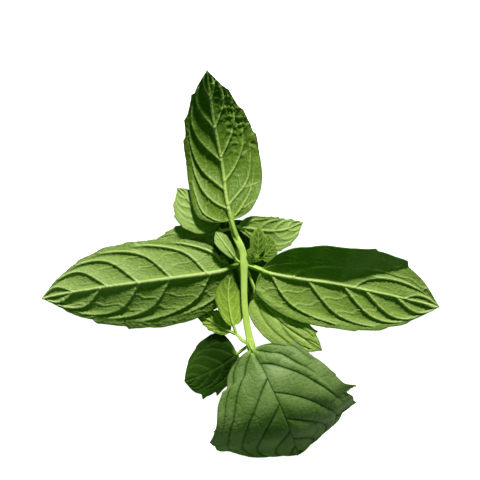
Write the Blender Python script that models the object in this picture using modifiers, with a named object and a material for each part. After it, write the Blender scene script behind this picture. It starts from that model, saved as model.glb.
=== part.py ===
"""A mint sprig lying on its leaves: a square stem, three large leaves with their undersides up, one with
its upper side up, and the small leaves and side shoots between them.

Lengths are in millimetres from the stem's middle joint until the last step, which writes metres and sets
the origin at the middle of the sprig's base. +X runs along the left and right leaves, +Y towards the stem's
tip and +Z up, away from the surface that the sprig lies on.
"""

import math
from dataclasses import dataclass

import bmesh
import bpy
import numpy as np

MM = 0.001

# Driving dimensions, in millimetres
BLADE_THICKNESS = 0.5
STALK_THICKNESS = 1.5
SMALL_STALK_THICKNESS = 0.9
TIP_HALF_WIDTH = 0.25
TALLEST_CROSS_SLOPE = 80.0
LARGE_GRID = (10, 22)
SMALL_GRID = (6, 14)
MIDRIB_CROWDING = 1.5
MIDRIB_THINNING = 0.7
LOBE_REACH = 0.16
FOLD_GAP = 0.7
STEM_CORNER = 0.72
PATH_SAMPLES = 240
STEM_RINGS = 26
SHOOT_RINGS = 9

LEAF_GREEN = (0.13, 0.24, 0.05)
PALE_GREEN = (0.34, 0.48, 0.13)
DARK_GREEN = (0.03, 0.08, 0.01)
STEM_GREEN = (0.45, 0.62, 0.16)


@dataclass
class Side:
    """One half of a blade: its greatest width, where that is from base (0) to tip (1), how full its base
    and tip are, its rise across in degrees at the base, middle and tip, its further bend out to the edge,
    how far its base lobe reaches back, and a fold: its angle, where its crease leaves the midrib and how
    fast it moves out."""
    width: float
    widest: float
    base_full: float
    tip_full: float
    rise: tuple
    bend: float = 0.0
    lobe: float = 0.0
    fold: tuple = (0.0, 0.0, 0.0)


@dataclass
class Leaf:
    """A leaf: the line of its stalk and midrib, the length of the stalk, and its two halves, named as seen
    along the leaf from above."""
    line: list
    stalk: float
    left: Side
    right: Side
    color: tuple = LEAF_GREEN
    large: bool = False


def small_side(width, rise=(0, 0, 0), widest=0.42, bend=0.0, lobe=0.0, base_full=2.4, tip_full=2.0):
    """A half of a small leaf, with much the same outline on all of them."""
    return Side(width, widest, base_full, tip_full, rise, bend, lobe)


# The four large leaves
LEAVES = {
    "top_leaf": Leaf(
        line=[(-3.4, 11.4, 14.5), (-4.3, 15.6, 14.2), (-5.3, 20.4, 12.2), (-6.2, 27.9, 10.6), (-7.5, 35.1, 11.6),
              (-9.0, 42.6, 14.4), (-9.9, 48.9, 17.8), (-10.6, 54.2, 21.6), (-10.9, 57.2, 23.8)],
        stalk=1.8, large=True,
        left=Side(11.4, 0.35, 3.8, 1.8, (-10, -15, -16), -12, 1.6),
        right=Side(11.7, 0.42, 3.0, 1.65, (0, -4, -8), -10, 0.4)),
    "left_leaf": Leaf(
        line=[(-1.75, -0.3, 11.4), (-4.6, -1.2, 10.6), (-8.2, -2.4, 11.6), (-22.2, -4.3, 11.0), (-32.2, -5.6, 9.6),
              (-42.3, -7.0, 7.4), (-53.7, -8.9, 3.6), (-61.0, -10.4, 0.5)],
        stalk=2.6, large=True,
        left=Side(15.0, 0.38, 2.0, 2.1, (-14, -18, -10), -4, 3.0),
        right=Side(12.5, 0.47, 2.6, 2.35, (-8, -9, -6), -8, 0.5)),
    "right_leaf": Leaf(
        line=[(2.0, -0.65, 13.0), (5.0, -1.8, 12.9), (8.2, -2.9, 12.5), (16.8, -4.5, 11.4), (27.6, -6.0, 9.6),
              (42.0, -9.0, 6.4), (49.8, -10.8, 4.0), (59.0, -13.0, 0.5)],
        stalk=3.6, large=True,
        left=Side(13.4, 0.47, 2.6, 2.3, (0, -1, 0), 0, 0.6, (36, 0.42, 25.0)),
        right=Side(13.3, 0.34, 1.85, 2.6, (-3, -4, -2), 2, 4.2)),
    "lower_leaf": Leaf(
        line=[(1.9, -24.4, 15.6), (3.9, -28.4, 17.4), (5.7, -31.3, 18.7), (7.8, -35.7, 19.8), (11.2, -43.1, 19.2),
              (14.0, -50.4, 14.0), (15.8, -55.6, 6.0), (16.6, -57.8, 0.35)],
        stalk=1.2, large=True, color=DARK_GREEN,
        left=Side(21.0, 0.64, 1.9, 2.4, (-2, -10, -12), -14, 1.6),
        right=Side(23.4, 0.62, 1.45, 2.2, (-2, -7, -9), -9, 0.8)),
}

# The smaller leaves behind them
LEAVES.update({
    "shaded_leaf": Leaf(
        line=[(0.2, -25.2, 11.6), (-3.3, -27.9, 10.2), (-9.6, -32.1, 6.0), (-18.0, -35.6, 1.2)],
        stalk=3.0, color=DARK_GREEN,
        left=small_side(6.4, (-8, -6, 0), base_full=2.0, tip_full=5.0),
        right=small_side(9.8, (-8, -14, -4), bend=-8, lobe=2.0, base_full=4.0, tip_full=2.4)),
    "back_right_leaf": Leaf(
        line=[(1.4, -3.0, 11.0), (3.0, -7.0, 10.6), (4.4, -10.6, 10.4), (12.0, -18.4, 9.8), (23.4, -26.0, 7.4)],
        stalk=7.6, color=PALE_GREEN,
        left=small_side(5.6, (2, 2, 0), widest=0.5),
        right=small_side(6.4, (-4, -4, 0), lobe=1.6, base_full=3.0)),
    "back_left_leaf": Leaf(
        line=[(-4.9, 10.4, 11.2), (-9.0, 9.4, 8.4), (-18.0, 7.2, 5.4), (-28.5, 5.2, 3.8)],
        stalk=2.4, color=PALE_GREEN,
        left=small_side(4.2), right=small_side(4.8, (-4, -4, 0))),
    "back_centre_leaf": Leaf(
        line=[(-4.2, 13.4, 8.2), (-2.6, 7.0, 7.2), (-0.4, -1.0, 6.6), (1.6, -13.6, 4.6)],
        stalk=0.6, color=DARK_GREEN,
        left=small_side(8.2, (-4, -4, 0), base_full=3.0),
        right=small_side(8.0, (-8, -8, -6), widest=0.34, lobe=1.6, base_full=3.6)),
    "tip_leaf_left": Leaf(
        line=[(-5.6, 15.4, 9.7), (-9.0, 14.8, 9.6), (-14.4, 17.0, 7.4), (-20.0, 22.8, 4.8)],
        stalk=1.6, color=PALE_GREEN,
        left=small_side(7.2, (4, 4, 0)), right=small_side(4.6, (6, 4, 0))),
    "tip_leaf_right": Leaf(
        line=[(-1.9, 11.2, 11.4), (2.3, 10.6, 9.8), (6.0, 10.0, 8.2), (11.7, 10.2, 4.8), (17.8, 12.6, 0.9)],
        stalk=0.4, color=PALE_GREEN,
        left=small_side(4.3, (4, 6, 0), base_full=3.0),
        right=small_side(6.0, (-4, -6, 0), widest=0.56, base_full=0.7, tip_full=1.5)),
    "left_axil_leaf": Leaf(
        line=[(-2.2, 1.2, 13.6), (-4.9, 4.8, 14.2), (-8.4, 9.6, 13.4)],
        stalk=0.8, color=PALE_GREEN,
        left=small_side(2.3, (6, 6, 0), widest=0.62, base_full=1.4, tip_full=2.6),
        right=small_side(1.9, (6, 6, 0), widest=0.62, base_full=1.4, tip_full=2.6)),
    "right_shoot_leaf_1": Leaf(
        line=[(4.0, 2.4, 13.6), (4.2, 6.0, 13.9), (4.4, 10.9, 12.9)],
        stalk=0.5,
        left=small_side(2.4, (8, 8, 0)), right=small_side(2.2, (8, 8, 0))),
    "right_shoot_leaf_2": Leaf(
        line=[(4.7, 2.4, 11.2), (6.4, 5.0, 10.4), (7.4, 8.8, 9.6)],
        stalk=0.5,
        left=small_side(2.4), right=small_side(2.6)),
    "right_shoot_leaf_3": Leaf(
        line=[(4.9, 1.5, 12.4), (6.8, 3.1, 12.0), (9.4, 5.4, 11.1)],
        stalk=0.4,
        left=small_side(2.3, (8, 8, 0)), right=small_side(2.9, (2, 2, 0))),
    "right_shoot_leaf_4": Leaf(
        line=[(3.1, 2.1, 14.7), (2.2, 3.2, 15.2), (1.6, 4.8, 15.3)],
        stalk=0.3,
        left=small_side(0.9, (10, 10, 0)), right=small_side(0.9, (10, 10, 0))),
    "lower_shoot_leaf_up": Leaf(
        line=[(-2.8, -19.5, 12.5), (-3.6, -17.0, 12.6), (-4.5, -12.0, 12.5), (-4.7, -8.0, 12.4), (-4.2, -3.8, 12.6)],
        stalk=1.2, color=PALE_GREEN,
        left=small_side(3.8, (0, -4, 0), widest=0.62, base_full=1.8, tip_full=2.6),
        right=small_side(3.8, (-12, -14, -4), widest=0.5, lobe=0.8, base_full=4.4, tip_full=2.6)),
    "lower_shoot_leaf_out": Leaf(
        line=[(-3.3, -20.6, 12.0), (-6.8, -18.8, 9.4), (-10.4, -16.9, 6.6), (-14.6, -15.0, 4.4)],
        stalk=1.2, color=PALE_GREEN,
        left=small_side(2.6, (-6, -6, 0)), right=small_side(3.6, (4, 4, 0), base_full=3.0)),
})

# Stems: points of the centre line with the half-width of the stem there
STEMS = {
    "main_stem": [
        (3.4, -31.0, 11.4, 1.25), (2.6, -27.0, 12.4, 1.25), (1.95, -24.0, 12.9, 1.5), (1.5, -21.6, 13.0, 1.2),
        (0.7, -16.8, 13.0, 1.1), (0.1, -10.8, 13.0, 1.05), (0.0, -3.0, 13.0, 1.15), (0.0, 0.0, 13.0, 1.35),
        (-0.3, 3.3, 13.1, 1.15), (-1.2, 5.7, 13.1, 1.2), (-2.4, 8.1, 12.9, 1.1), (-3.1, 10.2, 12.3, 1.0),
        (-3.7, 12.4, 11.1, 0.85), (-4.3, 15.0, 9.6, 0.7), (-5.0, 18.0, 8.6, 0.5)],
    "right_shoot_stem": [(2.1, 0.9, 13.4, 0.5), (3.0, 1.0, 13.2, 0.48), (3.9, 1.7, 12.8, 0.45)],
    "lower_shoot_stem": [(-0.5, -22.8, 13.0, 0.65), (-1.4, -21.7, 12.8, 0.6), (-2.6, -20.6, 12.4, 0.55)],
}

BUD_BASE = (-5.3, 19.0, 8.3)
BUD_LENGTH = 4.4
BUD_HALF_WIDTH = 1.1
BUD_TAPER = 0.45


def smooth_path(points):
    """Many points of a smooth curve through a few, by Catmull-Rom, with the distance along it."""
    points = np.asarray(points, dtype=float)
    first = 2 * points[0] - points[1]
    last = 2 * points[-1] - points[-2]
    padded = np.vstack([first, points, last])
    spans = len(points) - 1
    places = np.linspace(0, spans, PATH_SAMPLES)
    span = np.minimum(places.astype(int), spans - 1)
    part = (places - span)[:, None]
    before, start, end, after = (padded[span + shift] for shift in range(4))
    curve = 0.5 * (2 * start + (end - before) * part
                   + (2 * before - 5 * start + 4 * end - after) * part ** 2
                   + (3 * start - before - 3 * end + after) * part ** 3)
    steps = np.linalg.norm(np.diff(curve[:, :3], axis=0), axis=1)
    return curve, np.concatenate([[0.0], np.cumsum(steps)])


def along(distance, curve, lengths):
    """The curve's point at each distance, straight on past its ends."""
    spot = np.stack([np.interp(distance, lengths, curve[:, axis]) for axis in range(3)], axis=-1)
    start = (curve[1, :3] - curve[0, :3]) / lengths[1]
    return spot + np.minimum(distance, 0.0)[..., None] * start


def half_width(side, part):
    """The half-width of a blade at each place from its base (0) to its tip (1)."""
    part = np.clip(part, 0.0, 1.0)
    base = np.clip(part / side.widest, 0.0, 1.0)
    tip = np.clip((part - side.widest) / (1 - side.widest), 0.0, 1.0)
    rounded = np.sqrt(np.clip(1 - (1 - base) ** side.base_full, 0.0, 1.0))
    return side.width * rounded * (1 - tip ** side.tip_full)


def across_rise(side, part):
    """The slope across the blade, in degrees, through its values at base, middle and tip."""
    base, middle, tip = side.rise
    bulge = middle - (base + tip) / 2
    return base + (tip - base) * part + 4 * bulge * part * (1 - part)


def fold_rise(side, part, out):
    """The further rise of a folded half beyond its crease, in degrees, as seen from the midrib."""
    angle, start, rate = side.fold
    crease = FOLD_GAP + rate * np.maximum(part - start, 0.0)
    return angle * np.maximum(1 - crease / np.maximum(out, FOLD_GAP), 0.0)


def blade_points(leaf, across, place, stalk_half):
    """Where each grid point of a leaf lies: across runs from -1 (left edge) to 1, place from 0 to 1."""
    curve, lengths = smooth_path(leaf.line)
    length = lengths[-1]
    blade = length - leaf.stalk
    eased = (1 - np.cos(np.pi * place)) / 2
    distance = length * eased
    part = np.clip((distance - leaf.stalk) / blade, 0.0, 1.0)
    result = np.zeros(across.shape + (3,))
    nudge = 0.01
    for side, sign in ((leaf.left, -1), (leaf.right, 1)):
        reach = np.maximum(half_width(side, part), stalk_half * (1 - part) + TIP_HALF_WIDTH * part)
        out = np.abs(across) * reach
        lobe = side.lobe * out / side.width * np.exp(-(part / LOBE_REACH) ** 2)
        spot_at = distance - lobe
        spot = along(spot_at, curve, lengths)
        ahead = along(np.minimum(spot_at + nudge, length), curve, lengths)
        behind = along(np.minimum(spot_at + nudge, length) - 2 * nudge, curve, lengths)
        heading = ahead - behind
        heading /= np.linalg.norm(heading, axis=-1, keepdims=True)
        level = np.stack([heading[..., 1], -heading[..., 0], np.zeros_like(out)], axis=-1)
        level /= np.linalg.norm(level, axis=-1, keepdims=True)
        upward = np.cross(level, heading)
        slope = across_rise(side, part) + side.bend * out / side.width / 2 + fold_rise(side, part, out)
        slope = np.radians(np.clip(slope, -TALLEST_CROSS_SLOPE, TALLEST_CROSS_SLOPE))
        offset = sign * level * (out * np.cos(slope))[..., None] + upward * (out * np.sin(slope))[..., None]
        chosen = (across < 0) if sign < 0 else (across >= 0)
        result[chosen] = (spot + offset)[chosen]
    return result, part


def leaf_mesh(name, leaf):
    """A grid bent to the leaf's shape, with a weight that makes its stalk and midrib thicker."""
    columns, rows = LARGE_GRID if leaf.large else SMALL_GRID
    stalk = STALK_THICKNESS if leaf.large else SMALL_STALK_THICKNESS
    sheet = bmesh.new()
    bmesh.ops.create_grid(sheet, x_segments=columns, y_segments=rows, size=1.0)
    sheet.verts.ensure_lookup_table()
    flat = np.array([vert.co[:] for vert in sheet.verts])
    across = np.sign(flat[:, 0]) * np.abs(flat[:, 0]) ** MIDRIB_CROWDING
    place = (flat[:, 1] + 1) / 2
    points, part = blade_points(leaf, across, place, stalk / 2)
    for vert, point in zip(sheet.verts, points):
        vert.co = point * MM
    mesh = bpy.data.meshes.new(name)
    sheet.to_mesh(mesh)
    sheet.free()
    mesh.shade_smooth()
    thin = BLADE_THICKNESS / stalk
    rib = np.exp(-(across * columns / 2) ** 2) * (1 - MIDRIB_THINNING * part)
    on_stalk = part <= 0
    weight = np.where(on_stalk, 1.0, thin + (1 - thin) * rib)
    return mesh, weight, stalk


def make_leaf(name, leaf, collection):
    """One leaf with its stalk, as a single solid."""
    mesh, weight, stalk = leaf_mesh(name, leaf)
    obj = bpy.data.objects.new(name, mesh)
    collection.objects.link(obj)
    group = obj.vertex_groups.new(name="thickness")
    for index, value in enumerate(weight):
        group.add([index], float(value), "REPLACE")
    solid = obj.modifiers.new("Leaf thickness", "SOLIDIFY")
    solid.thickness = stalk * MM
    solid.offset = 0
    solid.vertex_group = group.name
    obj.data.materials.append(plain_material(name, leaf.color, 0.6))
    return obj


def square_profile(collection):
    """The stem's outline: a square with round corners, one unit from its middle to each side."""
    outline = bpy.data.curves.new("stem_profile", "CURVE")
    outline.dimensions = "2D"
    spline = outline.splines.new("POLY")
    corners = [(math.cos(math.radians(22.5 + 45 * step)), math.sin(math.radians(22.5 + 45 * step)))
               for step in reversed(range(8))]
    spline.points.add(len(corners) - 1)
    for point, (x, y) in zip(spline.points, corners):
        squared = STEM_CORNER / max(abs(x), abs(y)) + (1 - STEM_CORNER)
        point.co = (x * squared * MM, y * squared * MM, 0, 1)
    spline.use_cyclic_u = True
    obj = bpy.data.objects.new("stem_profile", outline)
    obj.hide_render = True
    obj.display_type = "WIRE"
    collection.objects.link(obj)
    return obj


def make_stem(name, points, rings, profile, collection):
    """A squarish stem through its points, as thick as they say."""
    curve, lengths = smooth_path(points)
    line = bpy.data.curves.new(name, "CURVE")
    line.dimensions = "3D"
    line.bevel_mode = "OBJECT"
    line.bevel_object = profile
    line.use_fill_caps = True
    spline = line.splines.new("POLY")
    spline.points.add(rings - 1)
    for point, distance in zip(spline.points, np.linspace(0, lengths[-1], rings)):
        x, y, z, half = (float(np.interp(distance, lengths, curve[:, axis])) for axis in range(4))
        point.co = (x * MM, y * MM, z * MM, 1)
        point.radius = half
    spline.use_smooth = True
    obj = bpy.data.objects.new(name, line)
    collection.objects.link(obj)
    line.materials.append(plain_material(name, STEM_GREEN, 0.45))
    return obj


def make_bud(collection):
    """The closed bud at the stem's end: a small egg with a pointed tip."""
    shape = bmesh.new()
    bmesh.ops.create_uvsphere(shape, u_segments=12, v_segments=8, radius=1.0)
    for vert in shape.verts:
        narrowing = 1 - BUD_TAPER * max(vert.co.y, 0.0)
        vert.co.x *= BUD_HALF_WIDTH * narrowing * MM
        vert.co.z *= BUD_HALF_WIDTH * narrowing * MM
        vert.co.y *= BUD_LENGTH / 2 * MM
    mesh = bpy.data.meshes.new("tip_bud")
    shape.to_mesh(mesh)
    shape.free()
    mesh.shade_smooth()
    obj = bpy.data.objects.new("tip_bud", mesh)
    x, y, z = BUD_BASE
    obj.location = (x * MM, (y + BUD_LENGTH / 2) * MM, z * MM)
    obj.data.materials.append(plain_material("tip_bud", PALE_GREEN, 0.5))
    collection.objects.link(obj)
    return obj


def plain_material(name, color, roughness):
    """A plain green with the roughness of a leaf or a stem."""
    material = bpy.data.materials.new(name)
    material.use_nodes = True
    shader = material.node_tree.nodes["Principled BSDF"]
    shader.inputs["Base Color"].default_value = (*color, 1)
    shader.inputs["Roughness"].default_value = roughness
    shader.inputs["Metallic"].default_value = 0
    return material


def world_corners(objects):
    """The lowest and highest corner of all the evaluated pieces."""
    bpy.context.view_layer.update()
    graph = bpy.context.evaluated_depsgraph_get()
    found = []
    for obj in objects:
        shape = obj.evaluated_get(graph)
        mesh = shape.to_mesh()
        found += [obj.matrix_world @ vert.co for vert in mesh.vertices]
        shape.to_mesh_clear()
    found = np.array(found)
    return found.min(axis=0), found.max(axis=0)


def stand_on_origin(objects):
    """Move every piece so that the origin is the middle of the sprig's base."""
    low, high = world_corners(objects)
    middle = ((low[0] + high[0]) / 2, (low[1] + high[1]) / 2, low[2])
    for obj in objects:
        for axis in range(3):
            obj.location[axis] -= float(middle[axis])


def main():
    for obj in list(bpy.data.objects):
        bpy.data.objects.remove(obj, do_unlink=True)
    sprig = bpy.data.collections.new("mint_sprig")
    guides = bpy.data.collections.new("guides")
    for collection in (sprig, guides):
        bpy.context.scene.collection.children.link(collection)
    profile = square_profile(guides)
    pieces = []
    for name, points in STEMS.items():
        rings = STEM_RINGS if name == "main_stem" else SHOOT_RINGS
        pieces.append(make_stem(name, points, rings, profile, sprig))
    for name, leaf in LEAVES.items():
        pieces.append(make_leaf(name, leaf, sprig))
    pieces.append(make_bud(sprig))
    stand_on_origin(pieces)


main()
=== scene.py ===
# %% [markdown]
# # A mint sprig, leaf by leaf
#
# This notebook dresses a cut mint sprig that lies on its leaves. The frame that is loaded here holds the
# plain solids of its stems and leaves, at their real size. Each one is replaced by a fine surface that has
# the same outline, bend and fold, and adds what makes it mint: raised veins, puckered fields and a toothed
# edge. The plain solids stay in the frame for the physics, hidden from view.

# %% Load the frame
import math
from dataclasses import dataclass

import bmesh
import bpy
import numpy as np
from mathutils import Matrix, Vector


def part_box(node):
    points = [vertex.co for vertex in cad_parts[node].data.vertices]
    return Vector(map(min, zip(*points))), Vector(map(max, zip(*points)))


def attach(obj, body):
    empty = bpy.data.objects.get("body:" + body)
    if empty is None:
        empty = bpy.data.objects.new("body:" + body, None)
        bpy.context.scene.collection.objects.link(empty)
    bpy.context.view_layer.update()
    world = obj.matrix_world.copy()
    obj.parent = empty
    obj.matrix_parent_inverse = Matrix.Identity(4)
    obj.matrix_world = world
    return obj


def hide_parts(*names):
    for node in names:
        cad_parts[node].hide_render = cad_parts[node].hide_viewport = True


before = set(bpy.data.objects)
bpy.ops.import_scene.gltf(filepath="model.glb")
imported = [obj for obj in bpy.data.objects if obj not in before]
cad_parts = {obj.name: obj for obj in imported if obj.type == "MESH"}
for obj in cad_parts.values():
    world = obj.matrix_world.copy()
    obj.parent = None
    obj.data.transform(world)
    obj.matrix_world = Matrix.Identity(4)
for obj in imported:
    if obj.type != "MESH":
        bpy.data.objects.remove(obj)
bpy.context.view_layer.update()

MM = 0.001

# %% [markdown]
# ## Where the sprig is measured from
#
# A plant is easiest to measure from one of its joints, so every length below is in millimetres from the
# stem's middle joint. The frame has its origin under the middle of the sprig instead. The closed bud at the
# stem's tip is a plain egg, so the middle of its box is the middle of the bud, and that gives the shift.

# %% Find the shift from the middle joint to the frame
BUD_BASE = np.array((-5.3, 19.0, 8.3))
BUD_LENGTH = 4.4

bud_low, bud_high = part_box("tip_bud")
bud_middle = (np.array(bud_low) + np.array(bud_high)) / 2
JOINT = bud_middle - (BUD_BASE + (0, BUD_LENGTH / 2, 0)) * MM
print("middle joint in mm:", (JOINT / MM).round(2))

# %% [markdown]
# ## How a leaf is described
#
# A mint leaf is a stalk that runs on as the midrib, with half a blade on each side. Each half has its own
# greatest width, a base and a tip that are more or less full, and a slope across, because the leaf is
# folded along its midrib. The side veins leave the midrib at their own places, slant forwards and turn
# along the edge, where each one meets the next. All of this fits in a few numbers, and one function can
# then draw every leaf of the sprig.

# %% The two halves and the leaf
@dataclass
class Side:
    """Half a blade: greatest width, where that is from base (0) to tip (1), how full base and tip are, the
    rise across in degrees at base, middle and tip, its further bend to the edge, how far its base lobe
    reaches back, and a fold: its angle, where its crease leaves the midrib and how fast it moves out.
    Then its veins: where they start along the midrib, how much they slant forwards and how much of that
    they do at the base, how far across they turn along the edge, how sharply and how far they run on
    there, how far across they fork, how strongly they stand out, how much the fields between them puff,
    how strong the fine net is and how each field tilts from vein to vein, like a roof tile. Last, the
    edge's teeth: depth at base and tip, pitch, shift, and how much the half is blistered."""
    width: float
    widest: float
    base_full: float
    tip_full: float
    rise: tuple
    bend: float = 0.0
    lobe: float = 0.0
    fold: tuple = (0.0, 0.0, 0.0)
    veins: tuple = ()
    slant: float = 0.8
    fan: float = 0.6
    loop: float = 0.82
    turn: float = 7.0
    run: float = 1.2
    fork: float = 1.0
    relief: float = 1.0
    puff: float = 1.0
    fine: float = 1.0
    tile: float = 0.0
    teeth: tuple = (0.3, 0.5)
    pitch: float = 5.5
    shift: float = 0.0
    blister: float = 0.0


@dataclass
class Leaf:
    """A leaf: the point inside the stem that it grows from, the line of its stalk and midrib, the length of
    the stalk outside the stem, its two halves as seen along it from above, and its finish."""
    root: tuple
    line: list
    stalk: float
    left: Side
    right: Side
    finish: str = "young"
    upper_side_up: bool = False
    size: float = 1.0


def small_side(width, rise=(0, 0, 0), widest=0.42, bend=0.0, lobe=0.0, base_full=2.4, tip_full=2.0,
               veins=(), slant=0.9, loop=0.84, relief=1.0, teeth=(0.1, 0.35), pitch=2.6):
    """Half of a small leaf, with much the same outline on all of them."""
    return Side(width, widest, base_full, tip_full, rise, bend, lobe, veins=veins, slant=slant, loop=loop,
                turn=6.0, run=0.9, relief=relief, teeth=teeth, pitch=pitch)


# %% [markdown]
# ## The four large leaves
#
# Three of them turn their undersides up: there the veins stand out like cords. The lowest one arches over
# the stem's end and shows its upper side, where the same veins are sunk between cushions. Its blue-green is
# partly its own colour and partly a painted sheen, and its sunken veins carry a painted shade. The leaves'
# lines are given by a handful of points, since no formula describes how a leaf happens to lie.

# %% Large leaves
LEAVES = {
    "top_leaf": Leaf(
        root=(-1.9, 7.0, 13.3),
        line=[(-3.4, 11.4, 14.5), (-4.3, 15.6, 14.2), (-5.3, 20.4, 12.2), (-6.2, 27.9, 10.6),
              (-7.5, 35.1, 11.6), (-9.0, 42.6, 14.4), (-9.9, 48.9, 17.8), (-10.6, 54.2, 21.6),
              (-10.9, 57.2, 23.8)],
        stalk=1.8, finish="top",
        left=Side(11.4, 0.35, 3.8, 1.8, (-10, -15, -16), -12, 1.6,
                  veins=(-6.0, 3.1, 9.6, 18.8, 29.3, 40.0), slant=0.62, fan=1.4, loop=0.88, run=0.8,
                  tile=-0.5, puff=2.2, teeth=(0.1, 0.6), pitch=7.0, shift=1.3),
        right=Side(11.7, 0.42, 3.0, 1.65, (0, -4, -8), -10, 0.4,
                   veins=(-9.0, -0.6, 4.5, 12.4, 20.0, 29.5, 39.0), slant=1.2, loop=0.8, run=0.5,
                   fork=0.48, tile=-0.6, puff=1.4, teeth=(0.1, 0.5), pitch=9.0, shift=2.0, blister=0.4)),
    "left_leaf": Leaf(
        root=(-0.4, 0.0, 12.4),
        line=[(-1.75, -0.3, 11.4), (-4.6, -1.2, 10.6), (-8.2, -2.4, 11.6), (-22.2, -4.3, 11.0),
              (-32.2, -5.6, 9.6), (-42.3, -7.0, 7.4), (-53.7, -8.9, 3.6), (-61.0, -10.4, 0.5)],
        stalk=2.6, finish="pale",
        left=Side(15.0, 0.38, 2.0, 2.1, (-14, -18, -10), -4, 3.0,
                  veins=(-3.0, 6.5, 18.7, 27.9, 40.1, 49.4), slant=0.72, loop=0.86, turn=6.0, run=1.0,
                  tile=-0.55, puff=1.8, teeth=(0.2, 0.8), pitch=9.0),
        right=Side(12.5, 0.47, 2.6, 2.35, (-8, -9, -6), -8, 0.5,
                   veins=(-1.6, 7.4, 18.2, 28.4, 38.0, 49.0), slant=0.85, loop=0.9, run=0.8,
                   tile=0.6, puff=2.0, teeth=(0.1, 0.3), pitch=8.0)),
    "right_leaf": Leaf(
        root=(0.4, -0.2, 13.0),
        line=[(2.0, -0.65, 13.0), (5.0, -1.8, 12.9), (8.2, -2.9, 12.5), (16.8, -4.5, 11.4), (27.6, -6.0, 9.6),
              (42.0, -9.0, 6.4), (49.8, -10.8, 4.0), (59.0, -13.0, 0.5)],
        stalk=3.6, finish="large",
        left=Side(13.4, 0.47, 2.6, 2.3, (0, -1, 0), 0, 0.6, (36, 0.42, 25.0),
                  veins=(-4.0, 9.5, 28.6, 45.0), slant=0.8, loop=0.56, turn=4.5, run=1.8, tile=0.6,
                  teeth=(0.1, 0.9), pitch=11.0),
        right=Side(13.3, 0.34, 1.85, 2.6, (-3, -4, -2), 2, 4.2,
                   veins=(-13.0, 2.8, 14.2, 25.2, 32.0, 42.0), slant=1.05, loop=0.9, run=0.7, tile=-0.65,
                   puff=2.1, teeth=(0.1, 0.4), pitch=8.2)),
    "lower_leaf": Leaf(
        root=(1.8, -23.0, 14.2),
        line=[(1.9, -24.4, 15.6), (3.9, -28.4, 17.4), (5.7, -31.3, 18.7), (7.8, -35.7, 19.8),
              (11.2, -43.1, 19.2), (14.0, -50.4, 14.0), (15.8, -55.6, 6.0), (16.6, -57.8, 0.35)],
        stalk=1.2, finish="upper", upper_side_up=True,
        left=Side(21.0, 0.64, 1.9, 2.4, (-2, -10, -12), -14, 1.6,
                  veins=(-9.0, 0.1, 5.3, 15.0, 24.0, 33.0), slant=0.6, loop=0.92, turn=3.0, run=0.6,
                  relief=1.3, fine=0.4, teeth=(0.2, 4.2), pitch=8.5, shift=5.8),
        right=Side(23.4, 0.62, 1.45, 2.2, (-2, -7, -9), -9, 0.8,
                   veins=(-8.0, 0.0, 10.3, 19.0, 29.0, 38.0), slant=0.9, loop=0.95, turn=4.0, run=0.6,
                   relief=1.3, fine=0.4, teeth=(0.1, 1.4), pitch=7.6, shift=2.0)),
}
print("large leaves:", ", ".join(LEAVES))
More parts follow.
